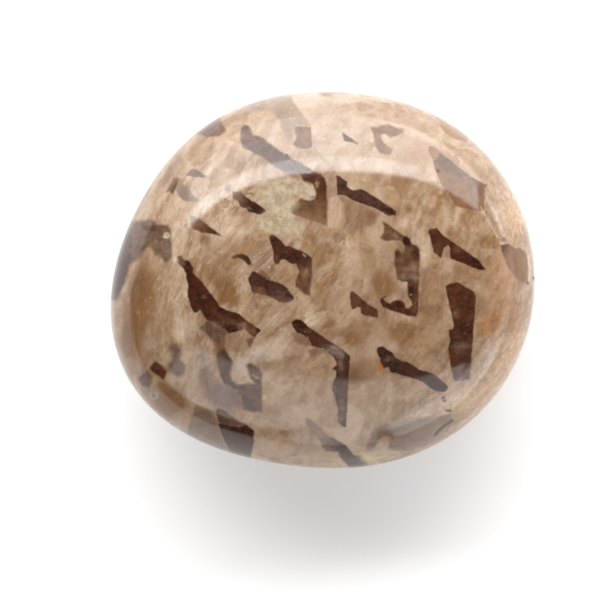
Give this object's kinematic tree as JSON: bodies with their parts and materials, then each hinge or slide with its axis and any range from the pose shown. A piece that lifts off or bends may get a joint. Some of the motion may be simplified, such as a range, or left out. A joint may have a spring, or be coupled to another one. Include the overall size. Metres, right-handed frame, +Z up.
{
  "type": "feldspar pebble",
  "caption": "Polished stone pebble of tan feldspar grown through with angular dark smoky quartz, a thick rounded oval that rests on a small flat spot.",
  "frame": {"origin": "middle of the base of the stone's bounding box, on the flat spot that it rests on", "axes": "+X along the stone's longest side, +Y across its broad face, +Z up out of the broad face"},
  "size_m": [0.0664, 0.0588, 0.0311],
  "materials": {
    "polished_feldspar": "hand-polished stone, glossy, tan feldspar with smoky quartz"
  },
  "bodies": {
    "root": {"pebble": "polished_feldspar"}
  },
  "joints": []
}
